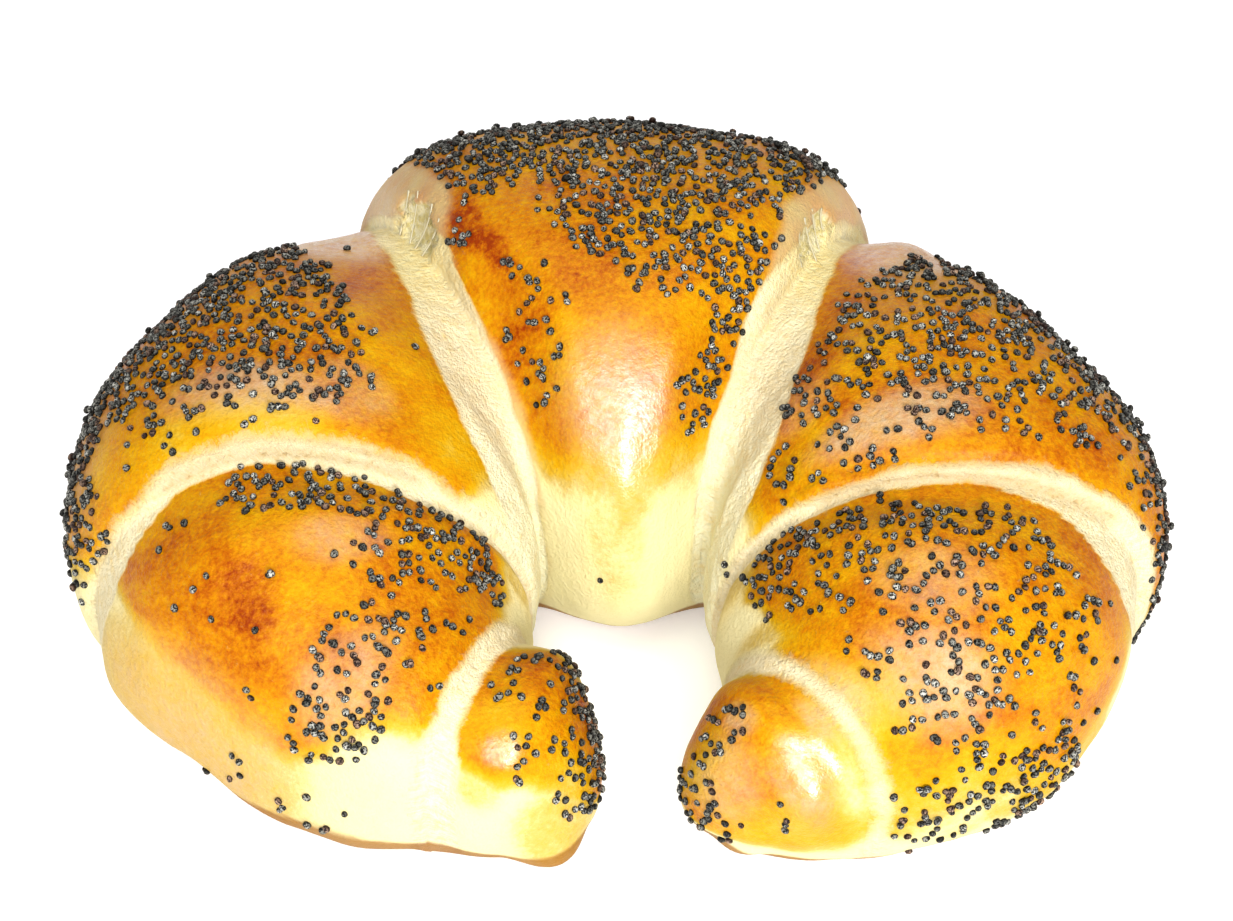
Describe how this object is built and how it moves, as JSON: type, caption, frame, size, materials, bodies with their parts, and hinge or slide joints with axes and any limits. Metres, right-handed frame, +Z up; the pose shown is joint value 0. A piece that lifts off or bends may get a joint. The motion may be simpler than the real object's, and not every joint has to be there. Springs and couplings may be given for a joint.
{
  "type": "poppy seed crescent roll",
  "caption": "Baked crescent roll of soft glossy wheat dough in overlapping turns, horns curled inwards, with poppy seeds on its crust.",
  "frame": {"origin": "on the surface the roll rests on, below the middle of its bounding box", "axes": "+X along the roll's greatest width from the left horn's side to the right one's, +Y away from the opening between the horns, +Z up"},
  "size_m": [0.124, 0.095, 0.0454],
  "materials": {
    "crust": "egg-washed baked crust, golden brown and softly glossy on top, cream where the dough tore open",
    "poppy_seed": "dry dull seed coat, slate blue to black with some brown seeds"
  },
  "bodies": {
    "root": {"crescent_roll": "crust"}
  },
  "joints": []
}
